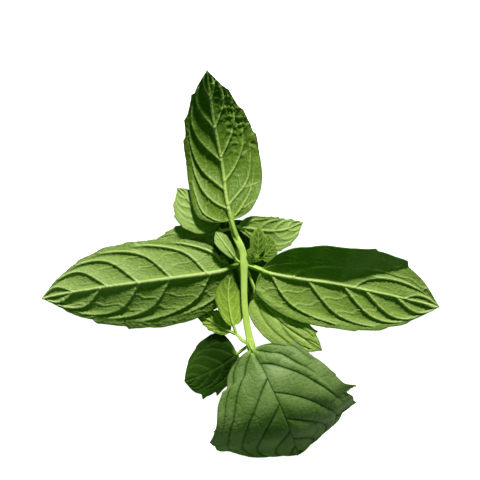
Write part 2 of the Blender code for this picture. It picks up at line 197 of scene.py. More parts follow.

# %% [markdown]
# ## The small leaves
#
# Behind the large ones lie the leaves of the stem's tip, the far leaves of each joint and the first leaves
# of the side shoots. Young leaves are thin and pale, and the leaves that lie in shade have a painted shade of
# dark green.

# %% Small leaves
LEAVES.update({
    "shaded_leaf": Leaf(
        root=(1.2, -24.6, 12.4),
        line=[(0.2, -25.2, 11.6), (-3.3, -27.9, 10.2), (-9.6, -32.1, 6.0), (-18.0, -35.6, 1.2)],
        stalk=3.0, finish="shaded", upper_side_up=True, size=0.6,
        left=small_side(6.4, (-8, -6, 0), base_full=2.0, tip_full=5.0, slant=1.5, relief=0.8,
                        teeth=(0.3, 1.4), pitch=4.2),
        right=small_side(9.8, (-8, -14, -4), bend=-8, lobe=2.0, base_full=4.0, tip_full=2.4, relief=0.4,
                         teeth=(0.0, 0.2), pitch=4.6)),
    "back_right_leaf": Leaf(
        root=(0.6, -1.6, 12.2),
        line=[(1.4, -3.0, 11.0), (3.0, -7.0, 10.6), (4.4, -10.6, 10.4), (12.0, -18.4, 9.8),
              (23.4, -26.0, 7.4)],
        stalk=7.6, finish="sunken", upper_side_up=True, size=0.6,
        left=small_side(5.6, (2, 2, 0), widest=0.5, veins=(-10.0, 1.0, 10.0), slant=2.0, loop=0.6,
                        teeth=(0.4, 1.0), pitch=3.6),
        right=small_side(6.4, (-4, -4, 0), lobe=1.6, base_full=3.0, veins=(-12.0, 0.0, 10.0), slant=2.3,
                         loop=0.6, teeth=(0.1, 0.3), pitch=3.4)),
    "back_left_leaf": Leaf(
        root=(-3.4, 10.4, 12.0),
        line=[(-4.9, 10.4, 11.2), (-9.0, 9.4, 8.4), (-18.0, 7.2, 5.4), (-28.5, 5.2, 3.8)],
        stalk=2.4, size=0.5,
        left=small_side(4.2), right=small_side(4.8, (-4, -4, 0), teeth=(0.1, 0.4), pitch=3.0)),
    "back_centre_leaf": Leaf(
        root=(-4.1, 14.4, 9.8),
        line=[(-4.2, 13.4, 8.2), (-2.6, 7.0, 7.2), (-0.4, -1.0, 6.6), (1.6, -13.6, 4.6)],
        stalk=0.6, finish="dim", size=0.5,
        left=small_side(8.2, (-4, -4, 0), base_full=3.0, relief=0.3),
        right=small_side(8.0, (-8, -8, -6), widest=0.34, lobe=1.6, base_full=3.6, relief=0.3)),
    "tip_leaf_left": Leaf(
        root=(-4.5, 15.4, 9.6),
        line=[(-5.6, 15.4, 9.7), (-9.0, 14.8, 9.6), (-14.4, 17.0, 7.4), (-20.0, 22.8, 4.8)],
        stalk=1.6, finish="young", size=0.5,
        left=small_side(7.2, (4, 4, 0), pitch=2.8), right=small_side(4.6, (6, 4, 0), pitch=2.8)),
    "tip_leaf_right": Leaf(
        root=(-3.2, 11.4, 12.0),
        line=[(-1.9, 11.2, 11.4), (2.3, 10.6, 9.8), (6.0, 10.0, 8.2), (11.7, 10.2, 4.8), (17.8, 12.6, 0.9)],
        stalk=0.4, size=0.5,
        left=small_side(4.3, (4, 6, 0), base_full=3.0, relief=1.2, pitch=2.8),
        right=small_side(6.0, (-4, -6, 0), widest=0.56, base_full=0.7, tip_full=1.5, relief=1.2, pitch=2.8)),
    "left_axil_leaf": Leaf(
        root=(-0.9, 0.4, 13.3),
        line=[(-2.2, 1.2, 13.6), (-4.9, 4.8, 14.2), (-8.4, 9.6, 13.4)],
        stalk=0.8, finish="tender", size=0.35,
        left=small_side(2.3, (6, 6, 0), widest=0.62, base_full=1.4, tip_full=2.6, relief=0.3,
                        teeth=(0.0, 0.1)),
        right=small_side(1.9, (6, 6, 0), widest=0.62, base_full=1.4, tip_full=2.6, relief=0.3,
                         teeth=(0.0, 0.1))),
    "right_shoot_leaf_1": Leaf(
        root=(3.8, 1.2, 12.8),
        line=[(4.0, 2.4, 13.6), (4.2, 6.0, 13.9), (4.4, 10.9, 12.9)],
        stalk=0.5, finish="shoot", size=0.35,
        left=small_side(2.4, (8, 8, 0)), right=small_side(2.2, (8, 8, 0))),
    "right_shoot_leaf_2": Leaf(
        root=(4.0, 1.3, 12.6),
        line=[(4.7, 2.4, 11.2), (6.4, 5.0, 10.4), (7.4, 8.8, 9.6)],
        stalk=0.5, finish="shoot", size=0.35,
        left=small_side(2.4), right=small_side(2.6)),
    "right_shoot_leaf_3": Leaf(
        root=(3.9, 1.2, 12.6),
        line=[(4.9, 1.5, 12.4), (6.8, 3.1, 12.0), (9.4, 5.4, 11.1)],
        stalk=0.4, finish="shoot", size=0.35,
        left=small_side(2.3, (8, 8, 0)), right=small_side(2.9, (2, 2, 0))),
    "right_shoot_leaf_4": Leaf(
        root=(3.6, 0.9, 12.9),
        line=[(3.1, 2.1, 14.7), (2.2, 3.2, 15.2), (1.6, 4.8, 15.3)],
        stalk=0.3, finish="shoot", size=0.3,
        left=small_side(0.9, (10, 10, 0)), right=small_side(0.9, (10, 10, 0))),
    "lower_shoot_leaf_up": Leaf(
        root=(-2.3, -20.8, 12.6),
        line=[(-2.8, -19.5, 12.5), (-3.6, -17.0, 12.6), (-4.5, -12.0, 12.5), (-4.7, -8.0, 12.4),
              (-4.2, -3.8, 12.6)],
        stalk=1.2, finish="yellowish", size=0.45,
        left=small_side(3.8, (0, -4, 0), widest=0.62, base_full=1.8, tip_full=2.6, relief=0.35, pitch=2.8),
        right=small_side(3.8, (-12, -14, -4), widest=0.5, lobe=0.8, base_full=4.4, tip_full=2.6,
                         relief=0.35, pitch=2.8)),
    "lower_shoot_leaf_out": Leaf(
        root=(-2.4, -20.8, 12.4),
        line=[(-3.3, -20.6, 12.0), (-6.8, -18.8, 9.4), (-10.4, -16.9, 6.6), (-14.6, -15.0, 4.4)],
        stalk=1.2, finish="yellowish", size=0.42,
        left=small_side(2.6, (-6, -6, 0)), right=small_side(3.6, (4, 4, 0), base_full=3.0)),
})
print("leaves in all:", len(LEAVES))

# %% [markdown]
# ## A smooth line through a few points
#
# A Catmull-Rom curve passes through every point that it is given and turns smoothly between them, which is
# what a stalk or a stem does. The distance along the curve comes with it, so that a leaf's width can be
# read at a length and not at a point number.

# %% Smooth lines
PATH_SAMPLES = 240


def smooth_path(points):
    """Many points of a smooth curve through a few, with the distance along it."""
    points = np.asarray(points, dtype=float)
    first = 2 * points[0] - points[1]
    last = 2 * points[-1] - points[-2]
    padded = np.vstack([first, points, last])
    spans = len(points) - 1
    places = np.linspace(0, spans, PATH_SAMPLES)
    span = np.minimum(places.astype(int), spans - 1)
    part = (places - span)[:, None]
    before, start, end, after = (padded[span + shift] for shift in range(4))
    curve = 0.5 * (2 * start + (end - before) * part
                   + (2 * before - 5 * start + 4 * end - after) * part ** 2
                   + (3 * start - before - 3 * end + after) * part ** 3)
    steps = np.linalg.norm(np.diff(curve[:, :3], axis=0), axis=1)
    return curve, np.concatenate([[0.0], np.cumsum(steps)])


def along(distance, curve, lengths):
    """The curve's point at each distance, straight on before its start."""
    spot = np.stack([np.interp(distance, lengths, curve[:, axis]) for axis in range(3)], axis=-1)
    start = (curve[1, :3] - curve[0, :3]) / lengths[1]
    return spot + np.minimum(distance, 0.0)[..., None] * start


for name in ("top_leaf", "left_leaf", "right_leaf", "lower_leaf"):
    print(name, "is", round(float(smooth_path(LEAVES[name].line)[1][-1]), 1), "mm long with its stalk")

# %% [markdown]
# ## The outline and its teeth
#
# The half-width grows from the base on a rounded curve and falls to the tip on a power curve, with no kink
# where they meet. Mint's edge has forward-pointing teeth: each one swells slowly towards the tip and
# drops back at once. The teeth get deeper past the middle of the blade.

# %% Outline of a blade
TOOTH_CREST = 0.8
TOOTH_SWELL = 1.8
TOOTH_START = (0.02, 0.12)
TOOTH_GROWTH = (0.35, 0.55)
TOOTH_END = (1.0, 0.78)
UNEVEN = 0.08


def half_width(side, part):
    """The half-width of a blade at each place from its base (0) to its tip (1)."""
    part = np.clip(part, 0.0, 1.0)
    base = np.clip(part / side.widest, 0.0, 1.0)
    tip = np.clip((part - side.widest) / (1 - side.widest), 0.0, 1.0)
    rounded = np.sqrt(np.clip(1 - (1 - base) ** side.base_full, 0.0, 1.0))
    return side.width * rounded * (1 - tip ** side.tip_full)


def ease(low, high, value):
    """0 below low, 1 above high and a smooth step between."""
    step = np.clip((value - low) / (high - low), 0.0, 1.0)
    return step * step * (3 - 2 * step)


def tooth(side, distance, part):
    """How far the edge's teeth stand out at each distance along the blade, in millimetres."""
    count = (distance + side.shift) / side.pitch
    uneven = UNEVEN * np.sin(count * 4.5 + side.width) + UNEVEN / 2 * np.sin(count * 9 + side.widest * 9)
    turn = (count + uneven) % 1.0
    swell = np.where(turn < TOOTH_CREST, (turn / TOOTH_CREST) ** TOOTH_SWELL, (1 - turn) / (1 - TOOTH_CREST))
    depth = side.teeth[0] + (side.teeth[1] - side.teeth[0]) * ease(*TOOTH_GROWTH, part)
    return depth * swell * ease(*TOOTH_START, part) * ease(*TOOTH_END, part)


def across_rise(side, part):
    """The slope across the blade, in degrees, through its values at base, middle and tip."""
    base, middle, tip = side.rise
    bulge = middle - (base + tip) / 2
    return base + (tip - base) * part + 4 * bulge * part * (1 - part)


for half in (LEAVES["left_leaf"].left, LEAVES["left_leaf"].right):
    at_quarters = half_width(half, np.array((0.25, 0.5, 0.75)))
    print("left leaf, a half's width at its quarters in mm:", at_quarters.round(1))


# %% [markdown]
# ## Veins as a wave
#
# Drawing each vein by hand would be slow, and its neighbours would not match. Instead every point of a half
# blade is slid back along the vein that passes through it, to the midrib. Where that lands between the
# listed starts gives a phase, and the veins are where the phase is a whole number. The distance to
# the vein is the phase's remainder divided by how fast it changes, so all veins are equally thick.
#
# Far out, a vein turns along the edge until it meets the next one. Some veins fork before that, and the
# straighter arm of the fork is the same wave with a gentler turn.

# %% Vein phase
EDGE_LEAD = 0.9
FORK_LEAD = 0.25
WIDEST_SHARE = 0.35
EVEN_STARTS = (-0.16, 0.06, 0.28, 0.50, 0.72)
EXTRA_VEINS = 6
MEETING = (0.7, 1.3)


def vein_phase(side, distance, reach, out, blade, forked=False):
    """Which vein passes each point, as a number that is whole on a vein, how far across, and how much of
    the way it has gone to where it meets the next vein; or the same for the straighter arm of its fork."""
    share = out / np.maximum(reach, 1e-6)
    bend_at = side.fork if forked else side.loop
    inner = np.minimum(share, bend_at)
    slant = side.slant * (side.fan + np.clip(distance / blade, 0.0, 1.0))
    turned = side.run * (inner / side.loop) ** side.turn
    lead = slant * inner + turned + (FORK_LEAD if forked else EDGE_LEAD) * np.maximum(share - bend_at, 0)
    span = WIDEST_SHARE * side.width + (1 - WIDEST_SHARE) * reach
    starts = np.array(side.veins if side.veins else np.array(EVEN_STARTS) * blade)
    first_gap = starts[1] - starts[0]
    last_gap = starts[-1] - starts[-2]
    knots = np.concatenate([starts[0] - first_gap * np.arange(EXTRA_VEINS, 0, -1), starts,
                            starts[-1] + last_gap * np.arange(1, EXTRA_VEINS + 1)])
    begun = distance - lead * span
    spacing = np.interp(begun, knots[:-1], np.diff(knots))
    met = ease(*MEETING, turned * span / spacing)
    return np.interp(begun, knots, np.arange(len(knots)) - EXTRA_VEINS), share, met


def grid_slope(field, distance, out):
    """How fast a field changes over the blade, per millimetre, on a grid of rows and columns."""
    field_row, field_col = np.gradient(field)
    dist_row, dist_col = np.gradient(distance)
    out_row, out_col = np.gradient(out)
    area = dist_row * out_col - dist_col * out_row
    area = np.where(np.abs(area) < 1e-9, 1e-9, area)
    by_distance = (field_row * out_col - field_col * out_row) / area
    by_out = (field_col * dist_row - field_row * dist_col) / area
    return np.hypot(by_distance, by_out) + 1e-6


listed = [name for name, leaf in LEAVES.items() if leaf.left.veins]
print("veins placed one by one:", ", ".join(listed))

# %% [markdown]
# ## The net between the veins
#
# Between two veins a mint leaf is divided again, first by rungs and then by a fine net, and each mesh of the
# net bulges a little. Scattered points give such a net: each place belongs to its nearest point, and the
# net runs where the nearest two are equally far. The points are a jittered lattice with a fixed seed, so
# the net is the same each time.

# %% Net of cells
def cell_border(x, y, pitch, seed):
    """Distance from each place to the border of its cell, in cells' widths, about 0 to 0.5."""
    rng = np.random.default_rng(seed)
    low_x, low_y = x.min() - pitch, y.min() - pitch
    count_x = int((x.max() - low_x) / pitch) + 3
    count_y = int((y.max() - low_y) / pitch) + 3
    jitter = rng.uniform(0.12, 0.88, (count_x, count_y, 2))
    column = ((x - low_x) / pitch).astype(int)
    row = ((y - low_y) / pitch).astype(int)
    nearest = np.full(x.shape, 9e9)
    second = np.full(x.shape, 9e9)
    for step_x in (-1, 0, 1):
        for step_y in (-1, 0, 1):
            at_x = np.clip(column + step_x, 0, count_x - 1)
            at_y = np.clip(row + step_y, 0, count_y - 1)
            spot = jitter[at_x, at_y]
            spot_x = low_x + (at_x + spot[..., 0]) * pitch
            spot_y = low_y + (at_y + spot[..., 1]) * pitch
            gap = np.hypot(spot_x - x, spot_y - y)
            second = np.minimum(second, np.maximum(nearest, gap))
            nearest = np.minimum(nearest, gap)
    return (second - nearest) / pitch


# %% [markdown]
# ## The line and the fold
#
# A leaf grows out of its stem, so its line starts at a point inside the stem and the fine stalk meets it
# with no gap. One large leaf has half of its blade folded over along a crease. The fold adds a slope beyond
# the crease, and the crease moves away from the midrib towards the tip, where the blade lies flat again.

# %% Line and fold
FOLD_GAP = 0.7
NO_OUT = 1e-6


def fold_rise(side, part, out):
    """The further rise of a folded half beyond its crease, in degrees, as seen from the midrib."""
    angle, start, rate = side.fold
    crease = FOLD_GAP + rate * np.maximum(part - start, 0.0)
    return angle * np.maximum(1 - crease / np.maximum(out, NO_OUT), 0.0)


def leaf_line(leaf):
    """The leaf's line from inside the stem, its lengths, and where its blade starts."""
    root_gap = float(np.linalg.norm(np.subtract(leaf.root, leaf.line[0])))
    curve, lengths = smooth_path([leaf.root] + list(leaf.line))
    return curve, lengths, leaf.stalk + root_gap


print("folded:", [name for name, leaf in LEAVES.items() if leaf.left.fold[0] or leaf.right.fold[0]])

# %% [markdown]
# ## From a flat grid to a leaf
#
# The blade starts as a flat grid, with columns across the leaf and rows along it. Each point gets its
# distance along the midrib and its distance out from it. The bend of the midrib and the slope of its side
# then carry it to its place. Rows are closer at the base and the tip, where the outline turns fastest.

# %% Bend the sheet
LARGE_STALK = 0.75
SMALL_STALK = 0.45
TIP_HALF_WIDTH = 0.12
LOBE_REACH = 0.16
STEEPEST = 80.0
END_CROWDING = 0.35
TOOTH_LEAN = 0.7
NUDGE = 0.05


def bent_sheet(leaf, across, place):
    """Places of the grid's points, with their distance along the blade, distance out, half-width and part."""
    curve, lengths, stalk = leaf_line(leaf)
    length = lengths[-1]
    distance = length * (place - END_CROWDING * np.sin(2 * np.pi * place) / (2 * np.pi))
    part = np.clip((distance - stalk) / (length - stalk), 0.0, 1.0)
    points = np.zeros(across.shape + (3,))
    far = np.zeros(across.shape)
    width = np.zeros(across.shape)
    slid = np.zeros(across.shape)
    stalk_half = LARGE_STALK if leaf.size == 1 else SMALL_STALK
    for side, sign in ((leaf.left, -1), (leaf.right, 1)):
        teeth = tooth(side, distance - stalk, part)
        reach = np.maximum(half_width(side, part), stalk_half * (1 - part) + TIP_HALF_WIDTH * part)
        out = np.abs(across) * (reach + teeth)
        lean = teeth * TOOTH_LEAN * np.abs(across) ** 4
        lobe = side.lobe * out / side.width * np.exp(-(part / LOBE_REACH) ** 2)
        spot_at = np.minimum(distance - lobe + lean, length)
        spot = along(spot_at, curve, lengths)
        ahead = np.minimum(spot_at + NUDGE, length)
        heading = along(ahead, curve, lengths) - along(ahead - 2 * NUDGE, curve, lengths)
        heading /= np.linalg.norm(heading, axis=-1, keepdims=True)
        level = np.stack([heading[..., 1], -heading[..., 0], np.zeros_like(out)], axis=-1)
        level /= np.linalg.norm(level, axis=-1, keepdims=True)
        upward = np.cross(level, heading)
        slope = across_rise(side, part) + side.bend * out / side.width / 2 + fold_rise(side, part, out)
        slope = np.radians(np.clip(slope, -STEEPEST, STEEPEST))
        offset = sign * level * (out * np.cos(slope))[..., None] + upward * (out * np.sin(slope))[..., None]
        chosen = (across < 0) if sign < 0 else (across >= 0)
        points[chosen] = (spot + offset)[chosen]
        far[chosen] = out[chosen]
        width[chosen] = reach[chosen]
        slid[chosen] = (spot_at - stalk)[chosen]
    return points, slid, far, width, part


def surface_normals(points):
    """The direction of the surface at each point of a grid, on the upper side."""
    by_row = np.gradient(points, axis=0)
    by_column = np.gradient(points, axis=1)
    normal = np.cross(by_column, by_row)
    size = np.linalg.norm(normal, axis=-1, keepdims=True)
    return normal / np.maximum(size, 1e-9)


coarse_grid = np.meshgrid(np.linspace(-1, 1, 5), np.linspace(0, 1, 9))
coarse_leaf = bent_sheet(LEAVES["left_leaf"], *coarse_grid)[0]
print("left leaf on a coarse grid, lowest and highest point in mm:",
      coarse_leaf[..., 2].min().round(1), coarse_leaf[..., 2].max().round(1))

# %% [markdown]
# ## What each half's relief is made of
#
# Relief is what tells mint from a smooth leaf. Beside each vein the blade rises in a soft skirt to the vein's
# cord. Between two veins it puffs up on the upper side, and tilts like a roof tile, so that one flank of a
# vein is steeper and lies in a crease, which gets a painted shade. Rungs and the net divide the fields. Each
# of these is a mask from 0 to 1 over the half, and a folded part is pressed smooth. Masks keep the shape and
# the colours together.

# %% Masks of one half
VEIN_RADIUS = 0.22
VEIN_THINNING = 0.30
TAPER_OUT = 0.35
TAPER_UP = 0.25
SKIRT_REACH = 0.6
SHADE_CREASE_REACH = 0.6
SHADE_CREASE_SIDE = (0.5, 0.45)
FORK_RADIUS = 0.7
FORK_START = 0.04
FORK_FADE = 0.85
FADE_LENGTH = 0.3
TILE_STEP = 0.4
RUNG_PITCH = 3.4
RUNG_RADIUS = 0.20
RUNG_SHIFT = 0.45
RUNG_SLANT = 0.7
RUNG_SWAY = 0.1
PRESSED_LOSS = 0.88
BASE_FADE = (0.0, 0.04)
EDGE_FADE = (0.99, 0.88)
FORK_END = (0.99, 0.85)
FIELD_START = (0.0, 0.15)
FIELD_END = (0.97, 0.7)
RUNG_START = (0.1, 0.3)
RUNG_END = (1.0, 0.85)
BLISTER_OUT = (0.05, 0.35)
BLISTER_UP = (0.3, 0.5)


def half_relief(side, number, size, slid, far, width, part, blade):
    """How strongly each kind of relief shows at each point of one half of a blade: half number 0 or 1 of a
    leaf of this size, its points' distance along and out, its half-width and its blade's length."""
    fine = size ** 0.5
    phase, share, met = vein_phase(side, slid, width, far, blade)
    gap = np.abs(phase - np.round(phase)) / grid_slope(phase, slid, far)
    field = phase - np.floor(phase)
    pressed = fold_rise(side, part, far) / max(side.fold[0], 1.0)
    strength = side.relief * (1 - PRESSED_LOSS * pressed)
    alive = (1 - met) * strength
    taper = (1 - TAPER_OUT * share) * (1 - TAPER_UP * part) * ease(*EDGE_FADE, share)
    taper = taper * ease(*BASE_FADE, part) * alive
    taper = taper * (1 - FORK_FADE * ease(side.fork, side.fork + FADE_LENGTH, share))
    radius = VEIN_RADIUS * fine * (1 - VEIN_THINNING * share)
    arm, _, _ = vein_phase(side, slid, width, far, blade, forked=True)
    arm_gap = np.abs(arm - np.round(arm)) / grid_slope(arm, slid, far)
    fork = np.exp(-(arm_gap / (FORK_RADIUS * radius)) ** 2) * ease(side.fork, side.fork + FORK_START, share)
    middle = ease(*FIELD_START, share) * ease(*FIELD_END, share) * alive
    # Painted shade mask: a dark crease on the steeper flank of each vein, on the side that the tile sinks.
    dip = field if side.tile > 0 else 1 - field
    crease = np.exp(-(gap / (SHADE_CREASE_REACH * fine)) ** 2) * ease(*SHADE_CREASE_SIDE, dip)
    sway = RUNG_SHIFT * np.sin(np.floor(phase) * 2.4 + number) + RUNG_SLANT * (field - 0.5)
    sway = sway + RUNG_SWAY * np.sin(field * 9.0)
    rungs = far / (RUNG_PITCH * fine) + sway
    rung_gap = np.abs(rungs - np.round(rungs)) * RUNG_PITCH * fine
    rung = np.exp(-(rung_gap / (RUNG_RADIUS * fine)) ** 2) * ease(*RUNG_START, share) * ease(*RUNG_END, share)
    return {
        "vein": np.exp(-(gap / radius) ** 2) * taper,
        "skirt": np.exp(-gap / (SKIRT_REACH * fine)) * taper,
        "fork": fork * ease(*FORK_END, share) * ease(*BASE_FADE, part) * strength,
        # painted shade in the crease beside each vein, for the colours only
        "crease": crease * abs(side.tile) * taper,
        "cushion": np.sin(np.pi * field) * middle * side.puff,
        "tile": side.tile * (field - 0.5) * ease(0.0, TILE_STEP, gap) * middle,
        "rung": rung * strength * side.fine,
        "net": strength * side.fine,
        "blister": side.blister * ease(*BLISTER_OUT, share) * ease(*BLISTER_UP, part),
        "pressed": pressed}


# %% [markdown]
# ## The two faces
#
# The cords of the veins are thick on the underside and only lightly sunk on the upper side. Moving one
# surface can't do both, so the relief is worked out for each face on its own. The sheet is then moved by half
# of their difference and thickened by their sum. The midrib stands out most, and is round on the stalk.

# %% Relief of both faces
VEIN_HEIGHT = 0.36
VEIN_SKIRT = 0.18
FORK_HEIGHT = 0.5
MIDRIB_HEIGHT = 0.60
MIDRIB_RADIUS = 0.44
MIDRIB_SKIRT = 0.28
MIDRIB_SKIRT_REACH = 0.7
MIDRIB_TAPER = 0.75
MIDRIB_THINNING = 0.55
BLADE_START = (0.0, 0.03)
CUSHION = 0.30
RUNG_HEIGHT = 0.19
NET_PITCH = 1.7
NET_HEIGHT = 0.12
NET_RADIUS = 0.13
BLISTER_PITCH = 3.0
EDGE_WAVE = 0.18
EDGE_WAVE_RATE = 0.75
UPPER_GROOVE = 0.5
UPPER_MIDRIB = 0.35
RAISED_LINE = 0.5
SUNKEN_LINE = 0.25
MIDRIB_LINE = 1.6
FORK_LINE = 0.55
RUNG_LINE = 0.20
NET_LINE = 0.05


def relief(leaf, across, slid, far, width, part, blade, seed):
    """How far the underside and the upper side stand out at each point, in millimetres, and the masks that
    the leaf's colours follow."""
    size = leaf.size
    fine = size ** 0.5
    left, right = (half_relief(side, number, size, slid, far, width, part, blade)
                   for number, side in enumerate((leaf.left, leaf.right)))
    shape = {kind: np.where(across < 0, left[kind], right[kind]) for kind in left}
    on_blade = ease(*BLADE_START, part)
    signed = far * np.where(across < 0, -1, 1)
    border = cell_border(slid, signed, NET_PITCH * fine, seed)
    net = np.exp(-(border / NET_RADIUS) ** 2) * on_blade * shape["net"]
    lumps = np.zeros(across.shape)
    if shape["blister"].any():
        warped = cell_border(slid + 0.5 * np.sin(signed * 1.1), signed + 0.5 * np.sin(slid * 0.9),
                             BLISTER_PITCH, seed + 1)
        lumps = shape["blister"] * (ease(0.0, 0.5, warped) - 0.4) * on_blade
    rib_taper = 1 - MIDRIB_TAPER * part
    rib = np.exp(-(far / (MIDRIB_RADIUS * fine * (1 - MIDRIB_THINNING * part))) ** 2)
    cord_height = VEIN_HEIGHT * size ** 1.1
    rib_height = MIDRIB_HEIGHT * size ** 0.6
    keel = MIDRIB_SKIRT * size * np.exp(-far / (MIDRIB_SKIRT_REACH * fine)) * rib_taper
    cord = np.maximum(shape["vein"], FORK_HEIGHT * shape["fork"])
    shared = np.maximum(VEIN_SKIRT * size * shape["skirt"], keel * on_blade)
    shared = shared + size * on_blade * (shape["tile"] - CUSHION * shape["cushion"])
    shared = shared + size * on_blade * (RUNG_HEIGHT * shape["rung"] + NET_HEIGHT * net)
    wave = EDGE_WAVE * size * (far / np.maximum(width, NO_OUT)) ** 3 * on_blade
    wave = wave * np.sin(slid * EDGE_WAVE_RATE / fine + seed) - lumps
    lower = shared + cord_height * cord + rib_height * rib_taper * rib + wave
    stalk_round = rib_height * rib * (1 - on_blade)
    grooves = UPPER_GROOVE * cord_height * cord + UPPER_MIDRIB * rib_height * rib * on_blade
    upper = stalk_round - shared - grooves - wave
    # Vein colour: partly the veins' own tone, partly painted highlight on raised cords and painted shade in
    # sunken ones.
    line_power = SUNKEN_LINE if leaf.upper_side_up else RAISED_LINE
    line = np.maximum(shape["vein"], FORK_LINE * shape["fork"]) ** line_power
    line = np.maximum(rib ** MIDRIB_LINE, line) + RUNG_LINE * shape["rung"] * on_blade
    vein_mask = np.clip(line + NET_LINE * net, 0, 1)
    return lower, upper, {"vein": vein_mask, "crease": shape["crease"] * on_blade, "folded": shape["pressed"]}


# %% [markdown]
# ## Building the mesh
#
# The grid comes from bmesh, and Solidify gives it its thickness, scaled point by point with a vertex group.
# A large leaf needs many points, because its veins are ridges in the mesh and not only a trick of the
# material. The masks and the place on the blade are stored as attributes, so that the leaf's material can
# colour the veins, the creases and the edge exactly where the shape has them.

# %% Flat grid
LARGE_GRID = (146, 292)
SMALL_GRID = (50, 92)
TINY_GRID = (34, 60)
TINY_SIZE = 0.4
MIDRIB_CROWDING = 1.1


def flat_sheet(name, leaf):
    """A flat grid mesh, fine enough for this leaf, with each point's place across (-1 to 1) and along."""
    columns, rows = LARGE_GRID if leaf.size == 1 else SMALL_GRID if leaf.size > TINY_SIZE else TINY_GRID
    sheet = bmesh.new()
    bmesh.ops.create_grid(sheet, x_segments=columns, y_segments=rows, size=1.0)
    mesh = bpy.data.meshes.new(name)
    sheet.to_mesh(mesh)
    sheet.free()
    flat = np.zeros(len(mesh.vertices) * 3)
    mesh.vertices.foreach_get("co", flat)
    flat = flat.reshape(rows + 1, columns + 1, 3)
    across = np.sign(flat[..., 0]) * np.abs(flat[..., 0]) ** MIDRIB_CROWDING
    return mesh, across, (flat[..., 1] + 1) / 2


# %% Thickness
BLADE_THICKNESS = 0.34
THINNEST_SHARE = 0.05


def thicken(piece, size, relief_sum):
    """Gives the sheet its thickness, point by point. The first material is for the side that faces up and
    the rim, and the second for the side that faces down."""
    thickness = BLADE_THICKNESS * (0.7 + 0.3 * size) + relief_sum
    thickest = float(thickness.max())
    group = piece.vertex_groups.new(name="thickness")
    for index, value in enumerate((thickness / thickest).ravel().tolist()):
        group.add((index,), max(value, THINNEST_SHARE), "REPLACE")
    solid = piece.modifiers.new("Thickness", "SOLIDIFY")
    solid.thickness = thickest * MM
    solid.offset = 0
    solid.vertex_group = group.name
    solid.material_offset = 1
    solid.material_offset_rim = 0


# %% Leaf piece
RIM_WIDTH = 0.5
STALK_COLOR_REACH = 1.3


def leaf_piece(name, leaf, seed):
    """One leaf as a new piece, with its relief, thickness and masks."""
    mesh, across, place = flat_sheet(name, leaf)
    points, slid, far, width, part = bent_sheet(leaf, across, place)
    _, lengths, stalk = leaf_line(leaf)
    lower, upper, masks = relief(leaf, across, slid, far, width, part, lengths[-1] - stalk, seed)
    facing = -1.0 if leaf.upper_side_up else 1.0
    points = points + surface_normals(points) * (facing * (lower - upper) / 2)[..., None]
    mesh.vertices.foreach_set("co", (points * MM + JOINT).ravel())
    mesh.update()
    mesh.shade_smooth()
    edge = ease(RIM_WIDTH, 0.0, (1 - np.abs(across)) * width) * ease(*BLADE_START, part)
    stalk_share = ease(0.07, 0.0, part) * np.exp(-(far / STALK_COLOR_REACH) ** 2)
    masks.update(edge=edge, part=part, stalk=stalk_share)
    for label, values in masks.items():
        layer = mesh.attributes.new(label, "FLOAT", "POINT")
        layer.data.foreach_set("value", np.clip(values, 0, 1).astype(np.float32).ravel())
    piece = bpy.data.objects.new(name + "_fine", mesh)
    bpy.context.scene.collection.objects.link(piece)
    thicken(piece, leaf.size, lower + upper)
    return piece


print("faces in a large leaf's sheet:", LARGE_GRID[0] * LARGE_GRID[1])


# %% [markdown]
# ## Colour that varies like a leaf's
#
# No leaf is one green. Two small node groups carry that variation, and every material places them with its
# own values. Both only put out colours and heights. First come a few helpers that shorten the wiring.

# %% Node helpers
def new_group(name, inputs, outputs):
    """An empty shader node group with these sockets, as (name, kind, default), and its two end nodes."""
    group = bpy.data.node_groups.new(name, "ShaderNodeTree")
    for label, kind, default in inputs:
        socket = group.interface.new_socket(label, in_out="INPUT", socket_type=kind)
        socket.default_value = default
    for label, kind in outputs:
        group.interface.new_socket(label, in_out="OUTPUT", socket_type=kind)
    return group, group.nodes.new("NodeGroupInput"), group.nodes.new("NodeGroupOutput")


def feed(tree, sockets, values):
    """Sets each input to its number or colour, or links it to its output."""
    for socket, value in zip(sockets, values):
        if isinstance(value, (int, float, tuple)):
            socket.default_value = value
        else:
            tree.links.new(value, socket)


def math_node(tree, operation, *values, clamp=False):
    """A Math node on outputs or numbers; returns its output."""
    node = tree.nodes.new("ShaderNodeMath")
    node.operation = operation
    node.use_clamp = clamp
    feed(tree, node.inputs, values)
    return node.outputs[0]


def mix_color(tree, factor, first, second):
    """A Mix node on two colours; returns its output."""
    node = tree.nodes.new("ShaderNodeMix")
    node.data_type = "RGBA"
    feed(tree, (node.inputs[0], node.inputs[6], node.inputs[7]), (factor, first, second))
    return node.outputs[2]


def noise(tree, where, scale, detail=3.0, roughness=0.55):
    """A noise texture's value, 0 to 1, at this many features a metre."""
    node = tree.nodes.new("ShaderNodeTexNoise")
    node.inputs["Scale"].default_value = scale
    node.inputs["Detail"].default_value = detail
    node.inputs["Roughness"].default_value = roughness
    tree.links.new(where, node.inputs["Vector"])
    return node.outputs["Fac"]


# %% [markdown]
# ## Group: living green
#
# The first group blotches a colour softly, paints light and shade towards the leaf's tip, lighter on some
# finishes and darker on others, and breaks it up with fine grain. A folded half takes a painted shade colour,
# since it is turned away from the lamp.

# %% Make the living green group
TIP_SHADING_POWER = 2.2
BLOTCH_SCALE = 110.0
GRAIN_SCALE = 900.0


